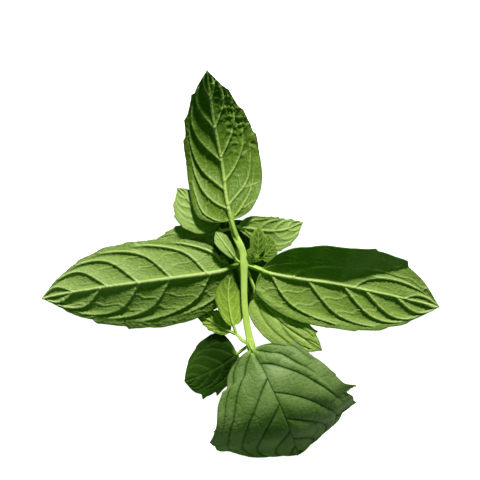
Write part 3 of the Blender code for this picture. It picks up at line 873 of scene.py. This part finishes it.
def make_living_green():
    """Blotches a colour towards a second one, paints shading towards the leaf's tip, lighter on some finishes
    and darker on others, gives a folded half a painted shade colour, and grains it.
    """
    group, start, end = new_group(
        "living_green",
        [("Color", "NodeSocketColor", (0.2, 0.3, 0.1, 1)), ("Blotch", "NodeSocketColor", (0.1, 0.2, 0.05, 1)),
         ("Blotch Amount", "NodeSocketFloat", 0.5), ("Tip Shading Color", "NodeSocketColor", (0.1, 0.2, 0.05, 1)),
         ("Tip Shading Amount", "NodeSocketFloat", 0.0), ("Part", "NodeSocketFloat", 0.0),
         ("Folded Shade Color", "NodeSocketColor", (0.1, 0.2, 0.05, 1)), ("Folded", "NodeSocketFloat", 0.0),
         ("Grain", "NodeSocketFloat", 0.2)],
        [("Color", "NodeSocketColor"), ("Grain", "NodeSocketFloat")])
    where = group.nodes.new("ShaderNodeTexCoord").outputs["Object"]
    broad = noise(group, where, BLOTCH_SCALE, 2.0)
    fine = noise(group, where, GRAIN_SCALE, 3.0, 0.65)
    spread = math_node(group, "MULTIPLY_ADD", broad, 2.4, -0.7, clamp=True)
    blotched = math_node(group, "MULTIPLY", spread, start.outputs["Blotch Amount"])
    blotchy = mix_color(group, blotched, start.outputs["Color"], start.outputs["Blotch"])
    # Painted light and shade towards the tip: the tip colour takes over as the part grows.
    far_out = math_node(group, "POWER", start.outputs["Part"], TIP_SHADING_POWER)
    tip_shading_share = math_node(group, "MULTIPLY", far_out, start.outputs["Tip Shading Amount"], clamp=True)
    tinted = mix_color(group, tip_shading_share, blotchy, start.outputs["Tip Shading Color"])
    # Painted shade: a folded half, turned from the lamp, takes the darker folded colour.
    tinted = mix_color(group, start.outputs["Folded"], tinted, start.outputs["Folded Shade Color"])
    centred = math_node(group, "SUBTRACT", fine, 0.5)
    swing = math_node(group, "MULTIPLY", centred, start.outputs["Grain"])
    bright = math_node(group, "MULTIPLY_ADD", swing, 2.0, 1.0)
    grained = group.nodes.new("ShaderNodeVectorMath")
    grained.operation = "SCALE"
    group.links.new(tinted, grained.inputs[0])
    group.links.new(bright, grained.inputs["Scale"])
    group.links.new(grained.outputs[0], end.inputs["Color"])
    group.links.new(fine, end.inputs["Grain"])
    return group


living_green = make_living_green()
print("node group:", living_green.name)


# %% [markdown]
# ## Group: vein lines
#
# The second group lays lines over the green: a painted shade in the crease beside each vein, the veins
# themselves, whose colour is partly their own and partly a painted highlight on raised cords and a painted
# shade in sunken ones, the rim and the stalk. On a folded half, which has a painted shade colour, the vein
# colour is left out. It reads the masks that the mesh carries, so a line and its ridge can't drift apart. It
# also puts out the height of a net that is too fine for the mesh.

# %% Make the vein lines group
NET_SCALE = 1000.0


def make_vein_lines():
    """Lays painted crease shade, vein colours with their painted highlight and shade, and edge and stalk
    colours over a leaf's green, and puts out the fine net's height.
    """
    group, start, end = new_group(
        "vein_lines",
        [("Color", "NodeSocketColor", (0.2, 0.3, 0.1, 1)),
         ("Vein Tone And Shading Color", "NodeSocketColor", (0.4, 0.5, 0.2, 1)), ("Vein", "NodeSocketFloat", 0.0),
         ("Vein Amount", "NodeSocketFloat", 0.6),
         ("Edge Color", "NodeSocketColor", (0.05, 0.1, 0.03, 1)), ("Edge", "NodeSocketFloat", 0.0),
         ("Edge Amount", "NodeSocketFloat", 0.5), ("Stalk Color", "NodeSocketColor", (0.36, 0.52, 0.1, 1)),
         ("Stalk", "NodeSocketFloat", 0.0), ("Crease Shade Color", "NodeSocketColor", (0.04, 0.10, 0.008, 1)),
         ("Crease", "NodeSocketFloat", 0.0), ("Folded", "NodeSocketFloat", 0.0)],
        [("Color", "NodeSocketColor"), ("Net", "NodeSocketFloat")])
    where = group.nodes.new("ShaderNodeTexCoord").outputs["Object"]
    cells = group.nodes.new("ShaderNodeTexVoronoi")
    cells.feature = "DISTANCE_TO_EDGE"
    cells.inputs["Scale"].default_value = NET_SCALE
    group.links.new(where, cells.inputs["Vector"])
    net = math_node(group, "MULTIPLY", cells.outputs["Distance"], 4.0, clamp=True)
    # Painted shade: the crease beside each vein takes the dark crease colour.
    crease_shaded = mix_color(group, math_node(group, "MULTIPLY", start.outputs["Crease"], 2.0, clamp=True),
                        start.outputs["Color"], start.outputs["Crease Shade Color"])
    # A folded half's painted shade also hides its vein colour.
    flat = math_node(group, "SUBTRACT", 1.0, start.outputs["Folded"], clamp=True)
    flat_amount = math_node(group, "MULTIPLY", flat, start.outputs["Vein Amount"])
    vein_share = math_node(group, "MULTIPLY", start.outputs["Vein"], flat_amount, clamp=True)
    veined = mix_color(group, vein_share, crease_shaded, start.outputs["Vein Tone And Shading Color"])
    rim_share = math_node(group, "MULTIPLY", start.outputs["Edge"], start.outputs["Edge Amount"], clamp=True)
    edged = mix_color(group, rim_share, veined, start.outputs["Edge Color"])
    stalked = mix_color(group, start.outputs["Stalk"], edged, start.outputs["Stalk Color"])
    group.links.new(stalked, end.inputs["Color"])
    group.links.new(net, end.inputs["Net"])
    return group


vein_lines = make_vein_lines()
print("node group:", vein_lines.name)

# %% [markdown]
# ## Leaf materials
#
# A mint leaf's underside is matt and yellowish, its upper side deeper and a little glossy. One recipe makes
# every leaf material, because they differ in their numbers only. The Principled shader stays in each
# material. Its Base Color comes through both groups, its Roughness follows the grain, and a Bump node adds
# grain and net that are too fine for the mesh.

# %% Material recipe
ROUGHNESS_SWING = 0.25
ROUGHNESS_DROP = 0.12


def place_group(tree, group, values):
    """A node of this group in a material, with these input values."""
    node = tree.nodes.new("ShaderNodeGroup")
    node.node_tree = group
    for label, value in values.items():
        node.inputs[label].default_value = value
    return node


def attribute(tree, label):
    """The value that the mesh stores under this name."""
    node = tree.nodes.new("ShaderNodeAttribute")
    node.attribute_name = label
    return node.outputs["Fac"]


def solid_color(color):
    """A colour with alpha."""
    return (*color, 1.0)


def add_bump(tree, height, strength, distance):
    """A Bump node between this height and the shader's Normal."""
    node = tree.nodes.new("ShaderNodeBump")
    node.inputs["Strength"].default_value = strength
    node.inputs["Distance"].default_value = distance
    tree.links.new(height, node.inputs["Height"])
    tree.links.new(node.outputs["Normal"], tree.nodes["Principled BSDF"].inputs["Normal"])


# The tip colour paints light and shade towards the tip, and the folded colour is the painted shade of a
# folded half.
def leaf_material(name, blade, blotch, vein, edge, rough=0.55, vein_amount=0.85, edge_amount=0.6, grain=0.32,
                  bump=0.6, blotch_amount=0.7, tip=(0.03, 0.08, 0.02), tip_shading_amount=0.0,
                  folded=(0.092, 0.22, 0.008), stalk=(0.36, 0.52, 0.10), shine=0.22):
    """A leaf's material from its colours, how strongly they show, and how rough and shiny it is."""
    material = bpy.data.materials.new(name)
    material.use_nodes = True
    tree = material.node_tree
    shader = tree.nodes["Principled BSDF"]
    green = place_group(tree, living_green, {
        "Color": solid_color(blade), "Blotch": solid_color(blotch), "Blotch Amount": blotch_amount,
        "Tip Shading Color": solid_color(tip), "Tip Shading Amount": tip_shading_amount, "Folded Shade Color": solid_color(folded),
        "Grain": grain})
    tree.links.new(attribute(tree, "part"), green.inputs["Part"])
    tree.links.new(attribute(tree, "folded"), green.inputs["Folded"])
    lines = place_group(tree, vein_lines, {
        "Vein Tone And Shading Color": solid_color(vein), "Edge Color": solid_color(edge), "Vein Amount": vein_amount,
        "Edge Amount": edge_amount, "Stalk Color": solid_color(stalk)})
    tree.links.new(green.outputs["Color"], lines.inputs["Color"])
    for label in ("vein", "edge", "stalk", "crease", "folded"):
        tree.links.new(attribute(tree, label), lines.inputs[label.capitalize()])
    tree.links.new(lines.outputs["Color"], shader.inputs["Base Color"])
    roughness = math_node(tree, "MULTIPLY_ADD", green.outputs["Grain"], ROUGHNESS_SWING,
                          rough - ROUGHNESS_DROP)
    tree.links.new(roughness, shader.inputs["Roughness"])
    add_bump(tree, math_node(tree, "ADD", green.outputs["Grain"], lines.outputs["Net"]), bump, 0.06 * MM)
    shader.inputs["Specular IOR Level"].default_value = shine
    return material


# %% [markdown]
# ## The leaves' finishes
#
# The finishes follow the plant, and some of their colours are painted light and shade. Undersides are pale
# and yellowish, and their paler cords are partly the veins' own colour and partly a painted highlight. The
# lowest leaf's upper side is blue-green, partly its own colour and partly a painted sheen, and its dark
# sunken veins are painted shade. The leaves under others are painted shade: a deep, dark green. Shoot leaves
# are a painted shade of dark green with painted highlights on their rims. Some finishes darken towards the
# tip as painted shade, and the pale underside and the shaded leaf lighten there as painted light; the pale
# underside's stalk and a folded half are painted shade. Each colour is set in linear light, so it looks
# brighter on a slope that faces the lamp.

# %% Leaf finishes
# Painted shade: darker towards the tip; the paler cords are partly a painted highlight.
UNDERSIDE = leaf_material("leaf_underside", (0.20, 0.30, 0.06), (0.12, 0.21, 0.015), (0.50, 0.61, 0.22),
                          (0.03, 0.08, 0.02), tip=(0.13, 0.20, 0.04), tip_shading_amount=0.7)
# Painted light: paler towards the tip; painted shade: the dark stalk.
PALE = leaf_material("pale_underside", (0.18, 0.27, 0.055), (0.125, 0.22, 0.018), (0.50, 0.61, 0.24),
                     (0.03, 0.08, 0.02), tip=(0.24, 0.33, 0.10), tip_shading_amount=1.0, stalk=(0.16, 0.27, 0.03))
# Painted sheen: the blade's pale blue-green stands in for a sheen; painted shade: the dark sunken veins.
SHEENED_UPPER_SIDE = leaf_material("leaf_upper_side_painted_sheen", (0.185, 0.265, 0.09), (0.075, 0.15, 0.016),
                           (0.02, 0.065, 0.004), (0.03, 0.07, 0.02), rough=0.52, vein_amount=0.95,
                           blotch_amount=0.9)
# Painted shade: darker towards the tip.
DARK = leaf_material("dark_underside", (0.11, 0.185, 0.016), (0.075, 0.15, 0.008), (0.40, 0.53, 0.15),
                     (0.02, 0.07, 0.02), rough=0.5, vein_amount=0.75, tip=(0.058, 0.132, 0.013),
                     tip_shading_amount=1.1)
YOUNG = leaf_material("young_leaf", (0.26, 0.37, 0.10), (0.17, 0.28, 0.035), (0.38, 0.48, 0.16),
                      (0.08, 0.15, 0.04), vein_amount=0.5)
# Painted shade: a dark green blade; painted highlight: the pale rims.
SHOOT_SHADE_LIT_RIM = leaf_material("shoot_leaf_painted_shade_lit_rim", (0.05, 0.115, 0.006), (0.03, 0.08, 0.003), (0.30, 0.42, 0.07),
                      (0.26, 0.38, 0.05), rough=0.6, vein_amount=0.42, edge_amount=0.5, shine=0.08)
# Painted shade: the whole leaf is a dark green, with painted light towards its tip.
SHADED = leaf_material("shaded_leaf", (0.016, 0.049, 0.002), (0.011, 0.036, 0.0015), (0.10, 0.18, 0.03),
                       (0.015, 0.04, 0.006), rough=0.7, vein_amount=0.45, tip=(0.035, 0.095, 0.007),
                       tip_shading_amount=1.0, shine=0.08)
# Painted shade: a dark green leaf behind the joints, where shade falls.
DIM_SHADE = leaf_material("back_leaf_painted_shade", (0.07, 0.145, 0.01), (0.05, 0.115, 0.006), (0.10, 0.18, 0.02),
                    (0.04, 0.09, 0.01), rough=0.6, vein_amount=0.4, shine=0.1)
TENDER = leaf_material("tender_leaf", (0.29, 0.41, 0.11), (0.24, 0.36, 0.07), (0.46, 0.57, 0.20),
                       (0.12, 0.20, 0.05), rough=0.5, vein_amount=0.5)
# Painted shade: darker towards the tip.
YELLOWISH = leaf_material("yellowish_leaf", (0.27, 0.39, 0.04), (0.19, 0.31, 0.02), (0.46, 0.58, 0.12),
                          (0.06, 0.13, 0.01), vein_amount=0.75, edge_amount=0.8,
                          tip=(0.06, 0.13, 0.008), tip_shading_amount=1.0)
# Painted shade: the dark sunken veins.
SUNKEN = leaf_material("young_upper_side", (0.37, 0.50, 0.135), (0.28, 0.41, 0.07), (0.07, 0.14, 0.012),
                       (0.05, 0.10, 0.02), vein_amount=0.7)

FINISHES = {
    "large": (UNDERSIDE, SHEENED_UPPER_SIDE, "large_leaf"), "pale": (PALE, SHEENED_UPPER_SIDE, "large_leaf"),
    "top": (DARK, SHEENED_UPPER_SIDE, "large_leaf"), "upper": (SHEENED_UPPER_SIDE, UNDERSIDE, "upper_side_leaf"),
    "shaded": (SHADED, UNDERSIDE, "upper_side_leaf"), "dim": (DIM_SHADE, SHEENED_UPPER_SIDE, "upper_side_leaf"),
    "young": (YOUNG, SHEENED_UPPER_SIDE, "young_leaf"), "shoot": (SHOOT_SHADE_LIT_RIM, SHEENED_UPPER_SIDE, "young_leaf"),
    "tender": (TENDER, SHEENED_UPPER_SIDE, "young_leaf"), "yellowish": (YELLOWISH, SHEENED_UPPER_SIDE, "young_leaf"),
    "sunken": (SUNKEN, YOUNG, "young_leaf"),
}
print("finishes, each with the material that faces up, the one that faces down and its slot:", len(FINISHES))

# %% [markdown]
# ## Growing the leaves
#
# Each leaf takes the place of its plain solid and rides on the same body. The printed line gives how far it
# stands out of that solid's box. That should be no more than its teeth, its veins and the start of its
# stalk, which lies inside the stem.

# %% Make every leaf
def stands_out(piece, node):
    """How far a piece reaches past its node's box, in millimetres."""
    graph = bpy.context.evaluated_depsgraph_get()
    shape = piece.evaluated_get(graph)
    mesh = shape.to_mesh()
    spots = np.zeros(len(mesh.vertices) * 3)
    mesh.vertices.foreach_get("co", spots)
    faces = len(mesh.polygons)
    shape.to_mesh_clear()
    spots = spots.reshape(-1, 3)
    low, high = (np.array(corner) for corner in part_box(node))
    past = max((low - spots.min(axis=0)).max(), (spots.max(axis=0) - high).max())
    return past / MM, faces


FIRST_SEED = 3

for seed, (name, leaf) in enumerate(LEAVES.items(), start=FIRST_SEED):
    piece = leaf_piece(name, leaf, seed)
    facing_up, facing_down, slot = FINISHES[leaf.finish]
    piece.data.materials.append(facing_up)
    piece.data.materials.append(facing_down)
    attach(piece, "root")
    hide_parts(name)
    past, faces = stands_out(piece, name)
    print(f"{name}: {faces} faces, stands out {past:.2f} mm")

# %% [markdown]
# ## Stems
#
# A mint stem is square with rounded corners and a shallow groove down each side, and it swells where
# leaves grow from it. A curve with a bevel outline gives exactly that: the outline is drawn once, and the
# curve's radius makes it thick or thin. Each point below is a place and the stem's half-width there.

# %% Stem lines
STEMS = {
    "main_stem": [
        (3.4, -31.0, 11.4, 1.25), (2.6, -27.0, 12.4, 1.25), (1.95, -24.0, 12.9, 1.5), (1.5, -21.6, 13.0, 1.2),
        (0.7, -16.8, 13.0, 1.1), (0.1, -10.8, 13.0, 1.05), (0.0, -3.0, 13.0, 1.15), (0.0, 0.0, 13.0, 1.35),
        (-0.3, 3.3, 13.1, 1.15), (-1.2, 5.7, 13.1, 1.2), (-2.4, 8.1, 12.9, 1.1), (-3.1, 10.2, 12.3, 1.0),
        (-3.7, 12.4, 11.1, 0.85), (-4.3, 15.0, 9.6, 0.7), (-5.0, 18.0, 8.6, 0.5)],
    "right_shoot_stem": [(0.9, 0.4, 13.3, 0.5), (2.1, 0.9, 13.4, 0.5), (3.0, 1.0, 13.2, 0.48),
                         (3.9, 1.7, 12.8, 0.45)],
    "lower_shoot_stem": [(1.4, -23.6, 13.0, 0.7), (-0.5, -22.8, 13.0, 0.65), (-1.4, -21.7, 12.8, 0.6),
                         (-2.6, -20.6, 12.4, 0.55)],
}

OUTLINE_POINTS = 40
STEM_CORNER = 0.35
STEM_GROOVE = 0.05


def stem_outline():
    """The stem's outline: a square with round corners and hollow sides, one unit from its middle out."""
    outline = bpy.data.curves.new("stem_outline", "CURVE")
    outline.dimensions = "2D"
    spline = outline.splines.new("POLY")
    spline.points.add(OUTLINE_POINTS - 1)
    for index, point in enumerate(spline.points):
        turn = -2 * math.pi * index / OUTLINE_POINTS
        square = 1 / max(abs(math.cos(turn)), abs(math.sin(turn)))
        out = (1 + STEM_CORNER * (square - 1) - STEM_GROOVE * math.cos(4 * turn)) * MM
        point.co = (math.cos(turn) * out, math.sin(turn) * out, 0, 1)
    spline.use_cyclic_u = True
    obj = bpy.data.objects.new("stem_outline", outline)
    obj.hide_render = True
    obj.hide_viewport = True
    bpy.context.scene.collection.objects.link(obj)
    return obj


outline = stem_outline()
print("stems:", ", ".join(STEMS))

# %% [markdown]
# ## The stem's finish
#
# Fresh stem is the lightest and yellowest green of the plant, with a slight sheen and fine ribs along it. It
# takes its colour from the same group as the leaves. The ribs are a noise that is stretched along the
# stem's main direction and used as bump, since they are far too fine to model.

# %% Stem material
FIBRE_STRETCH = 0.08
FIBRE_SCALE = 2600.0


def stem_material():
    """Yellow-green, with fine lines along it."""
    material = bpy.data.materials.new("stem")
    material.use_nodes = True
    tree = material.node_tree
    shader = tree.nodes["Principled BSDF"]
    green = place_group(tree, living_green, {
        "Color": solid_color((0.44, 0.61, 0.14)), "Blotch": solid_color((0.47, 0.62, 0.10)),
        "Blotch Amount": 0.5, "Grain": 0.2})
    tree.links.new(green.outputs["Color"], shader.inputs["Base Color"])
    roughness = math_node(tree, "MULTIPLY_ADD", green.outputs["Grain"], 0.3, 0.3)
    tree.links.new(roughness, shader.inputs["Roughness"])
    stretch = tree.nodes.new("ShaderNodeMapping")
    stretch.inputs["Scale"].default_value = (1.0, FIBRE_STRETCH, 1.0)
    tree.links.new(tree.nodes.new("ShaderNodeTexCoord").outputs["Object"], stretch.inputs["Vector"])
    add_bump(tree, noise(tree, stretch.outputs["Vector"], FIBRE_SCALE, 2.0), 0.6, 0.08 * MM)
    return material


STEM_MATERIAL = stem_material()
print("material:", STEM_MATERIAL.name)

# %% [markdown]
# ## Growing the stems
#
# A side stem starts inside the main stem, so that no seam shows where they join. Many points along the curve
# keep its bends smooth, and its end caps close it where the stem was cut.

# %% Make the stems
STEM_POINTS = 120
STEM_FIT = 0.95


def stem_piece(name, points, outline):
    """A stem as a curve with the square outline, as thick as its points say."""
    curve, lengths = smooth_path(points)
    line = bpy.data.curves.new(name, "CURVE")
    line.dimensions = "3D"
    line.bevel_mode = "OBJECT"
    line.bevel_object = outline
    line.use_fill_caps = True
    spline = line.splines.new("POLY")
    spline.points.add(STEM_POINTS - 1)
    for point, distance in zip(spline.points, np.linspace(0, lengths[-1], STEM_POINTS)):
        x, y, z, half = (float(np.interp(distance, lengths, curve[:, axis])) for axis in range(4))
        point.co = (*(np.array((x, y, z)) * MM + JOINT), 1)
        point.radius = half * STEM_FIT
    spline.use_smooth = True
    piece = bpy.data.objects.new(name + "_fine", line)
    bpy.context.scene.collection.objects.link(piece)
    line.materials.append(STEM_MATERIAL)
    return piece


for name, points in STEMS.items():
    piece = stem_piece(name, points, outline)
    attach(piece, "root")
    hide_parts(name)
    print("stem:", name)

# %% [markdown]
# ## The bud
#
# The stem ends in a closed bud: two tiny leaves pressed together. They are made by the same leaf function,
# folded steeply so that they cup each other. Both stand for the one plain egg of the frame.

# %% Make the bud
BUD_FOLD = -72
BUD_SEED = 40


def bud_leaf(side_sign):
    """One of the bud's two cupped leaves."""
    height = 0.25 * side_sign
    fold = BUD_FOLD * side_sign
    line = [BUD_BASE + (0, 0.0, height), BUD_BASE + (0, BUD_LENGTH * 0.5, height * 2.6),
            BUD_BASE + (0, BUD_LENGTH * 0.98, height)]
    side = Side(1.5, 0.45, 2.2, 1.8, (fold, fold, fold * 0.6), -20 * side_sign, teeth=(0.05, 0.1), pitch=1.0)
    return Leaf(tuple(BUD_BASE + (0.1, -0.8, height)), [tuple(spot) for spot in line], 0.2, side, side,
                size=0.3)


halves = [leaf_piece(f"tip_bud_{number}", bud_leaf(sign), BUD_SEED + number)
          for number, sign in enumerate((1, -1))]
for half in halves:
    half.data.materials.append(YOUNG)
    half.data.materials.append(YOUNG)
    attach(half, "root")
    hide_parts("tip_bud")
print("bud:", ", ".join(half.name for half in halves))

# %% [markdown]
# ## Floor
#
# The sprig lies on a plain pale floor, like a cut-out on white paper. A lit floor would be grey in places, so
# this one also glows, but only for rays that come straight from the camera: the Light Path node tells. It
# therefore looks white and lights nothing, and the leaves keep their deep shadows.

# %% Floor
bpy.ops.mesh.primitive_plane_add(size=3.0, location=(0, 0, 0))
floor = bpy.context.object
floor.name = "floor"
floor_material = bpy.data.materials.new("floor")
floor_material.use_nodes = True
floor_shader = floor_material.node_tree.nodes["Principled BSDF"]
floor_shader.inputs["Base Color"].default_value = (0.86, 0.86, 0.86, 1)
floor_shader.inputs["Roughness"].default_value = 0.9
floor_shader.inputs["Emission Color"].default_value = (1, 1, 1, 1)
seen = floor_material.node_tree.nodes.new("ShaderNodeLightPath").outputs["Is Camera Ray"]
floor_material.node_tree.links.new(seen, floor_shader.inputs["Emission Strength"])
floor.data.materials.append(floor_material)
print("floor:", tuple(round(side, 2) for side in floor.dimensions[:2]), "m")

# %% [markdown]
# ## Light
#
# One soft lamp stands low behind the top leaf, a little to the right. It grazes the leaves, so that each cord
# of a vein has a light flank and a dark one. Leaves pass on green light to each other, which would need
# many bounces through thin sheets. A weak green surrounding light stands for it, and tints the shadows.

# %% Light
LAMP_WAY = np.array((0.12, 0.80, 0.59))
LAMP_DISTANCE = 1.4

lamp_data = bpy.data.lights.new("key", "AREA")
lamp_data.shape = "DISK"
lamp_data.size = 0.18
lamp_data.energy = 33.0
lamp_data.color = (1.0, 0.98, 0.93)
lamp = bpy.data.objects.new("key", lamp_data)
lamp.location = LAMP_WAY / np.linalg.norm(LAMP_WAY) * LAMP_DISTANCE
lamp.rotation_euler = (-lamp.location).to_track_quat("-Z", "Y").to_euler()
bpy.context.scene.collection.objects.link(lamp)

world = bpy.data.worlds.new("studio")
world.use_nodes = True
surrounding = world.node_tree.nodes["Background"]
surrounding.inputs["Color"].default_value = (0.32, 0.95, 0.10, 1)
surrounding.inputs["Strength"].default_value = 0.17
bpy.context.scene.world = world
bpy.context.scene.view_settings.view_transform = "Standard"
lamp_angle = math.degrees(math.atan2(LAMP_WAY[2], math.hypot(LAMP_WAY[0], LAMP_WAY[1])))
print("the lamp's light falls at", round(lamp_angle), "degrees to the floor")

# %% [markdown]
# ## Camera
#
# The camera looks straight down, since the sprig lies flat. It is far away with a long lens, which keeps the
# leaves' proportions true: the lens is worked out from the width that the view should have.

# %% Camera
VIEW_WIDTH = 144.0
VIEW_MIDDLE = (-1.2, 7.2)
CAMERA_HEIGHT = 0.90
MIDDLE_LEVEL = 10.0
SENSOR = 36.0

camera_data = bpy.data.cameras.new("camera")
camera_data.sensor_width = SENSOR
camera_data.lens = SENSOR * CAMERA_HEIGHT / (VIEW_WIDTH * MM)
camera_data.clip_end = 20.0
camera = bpy.data.objects.new("camera", camera_data)
camera.location = (JOINT[0] + VIEW_MIDDLE[0] * MM, JOINT[1] + VIEW_MIDDLE[1] * MM,
                   JOINT[2] + MIDDLE_LEVEL * MM + CAMERA_HEIGHT)
bpy.context.scene.collection.objects.link(camera)
bpy.context.scene.camera = camera
print("lens:", round(camera_data.lens), "mm")
